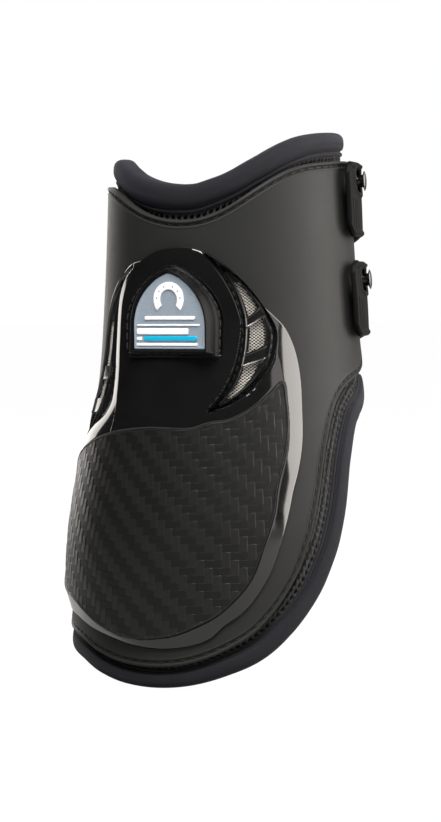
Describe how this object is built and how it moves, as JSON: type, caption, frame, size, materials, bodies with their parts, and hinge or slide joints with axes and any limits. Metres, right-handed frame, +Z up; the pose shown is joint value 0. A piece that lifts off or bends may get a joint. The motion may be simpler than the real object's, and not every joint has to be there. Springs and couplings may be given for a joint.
{
  "type": "horse fetlock boot",
  "caption": "Hind fetlock boot: moulded shell with glossy strike guard, woven-look panel, side vents, badge, padded rolls and elastic straps that hook on studs.",
  "frame": {"origin": "middle of the boot's outer box, level with its lowest point; the leg axis stands 2.87 mm to +X and 10.38 mm to +Y of it", "axes": "+Z up the leg, -Y out of the back where the badge and strike panel are, +Y the strapped front, +X the outside (lateral) flank with the studs"},
  "size_m": [0.0988, 0.1006, 0.1709],
  "materials": {
    "shell_tpu": "matte moulded thermoplastic polyurethane with a fine grain",
    "guard_gloss": "polished black moulded thermoplastic",
    "carbon_weave": "satin black twill weave relief",
    "vent_mesh": "expanded metal look mesh",
    "badge": null,
    "spacer_knit": "black knitted spacer mesh",
    "neoprene": "blue-black jersey faced neoprene",
    "gel": "soft translucent gel",
    "piping": "covered cord",
    "strap_tpu": "satin moulded thermoplastic polyurethane",
    "elastic": "ribbed woven elastic",
    "rivet_metal": "dark nickel plated metal"
  },
  "bodies": {
    "boot": {"badge_bezel": "guard_gloss", "badge_plate": "badge", "carbon_strike_panel": "carbon_weave", "front_binding_lateral": "elastic", "front_binding_medial": "elastic", "gel_insert": "gel", "lower_anchor_rivet_a": "rivet_metal", "lower_anchor_rivet_b": "rivet_metal", "lower_anchor_tab": "strap_tpu", "lower_collar_roll": "neoprene", "lower_piping": "piping", "lower_rivet_washer_a": "rivet_metal", "lower_rivet_washer_b": "rivet_metal", "lower_stud": "rivet_metal", "lower_stud_plate": "strap_tpu", "lower_stud_washer": "rivet_metal", "neoprene_liner": "neoprene", "outer_shell": "shell_tpu", "spacer_mesh_lining": "spacer_knit", "strike_guard_frame": "guard_gloss", "upper_anchor_rivet_a": "rivet_metal", "upper_anchor_rivet_b": "rivet_metal", "upper_anchor_tab": "strap_tpu", "upper_collar_roll": "neoprene", "upper_piping": "piping", "upper_rivet_washer_a": "rivet_metal", "upper_rivet_washer_b": "rivet_metal", "upper_stud": "rivet_metal", "upper_stud_plate": "strap_tpu", "upper_stud_washer": "rivet_metal", "vent_frame_lateral": "guard_gloss", "vent_frame_medial": "guard_gloss", "vent_mesh_lateral": "vent_mesh", "vent_mesh_medial": "vent_mesh"},
    "upper_band": {"upper_elastic_band": "elastic"},
    "upper_tip": {"upper_strap_tip": "strap_tpu"},
    "lower_band": {"lower_elastic_band": "elastic"},
    "lower_tip": {"lower_strap_tip": "strap_tpu"}
  },
  "joints": [
    {"name": "upper_band_swing", "type": "hinge", "parent": "boot", "child": "upper_band", "pos_m": [-0.03366, 0.03183, 0.13253], "axis": [0, 0, 1], "range_deg": [0, 42]},
    {"name": "upper_tip_lift", "type": "hinge", "parent": "upper_band", "child": "upper_tip", "pos_m": [0.03052, 0.04255, 0.14676], "axis": [0, 0, 1], "range_deg": [0, 120]},
    {"name": "lower_band_swing", "type": "hinge", "parent": "boot", "child": "lower_band", "pos_m": [-0.03543, 0.03189, 0.10157], "axis": [0, 0, 1], "range_deg": [0, 42]},
    {"name": "lower_tip_lift", "type": "hinge", "parent": "lower_band", "child": "lower_tip", "pos_m": [0.0317, 0.04262, 0.1152], "axis": [0, 0, 1], "range_deg": [0, 120]}
  ],
  "couplings": [
    {"joint": "upper_band_swing", "follows": "upper_tip_lift", "ratio": 0.35},
    {"joint": "lower_band_swing", "follows": "lower_tip_lift", "ratio": 0.35}
  ]
}
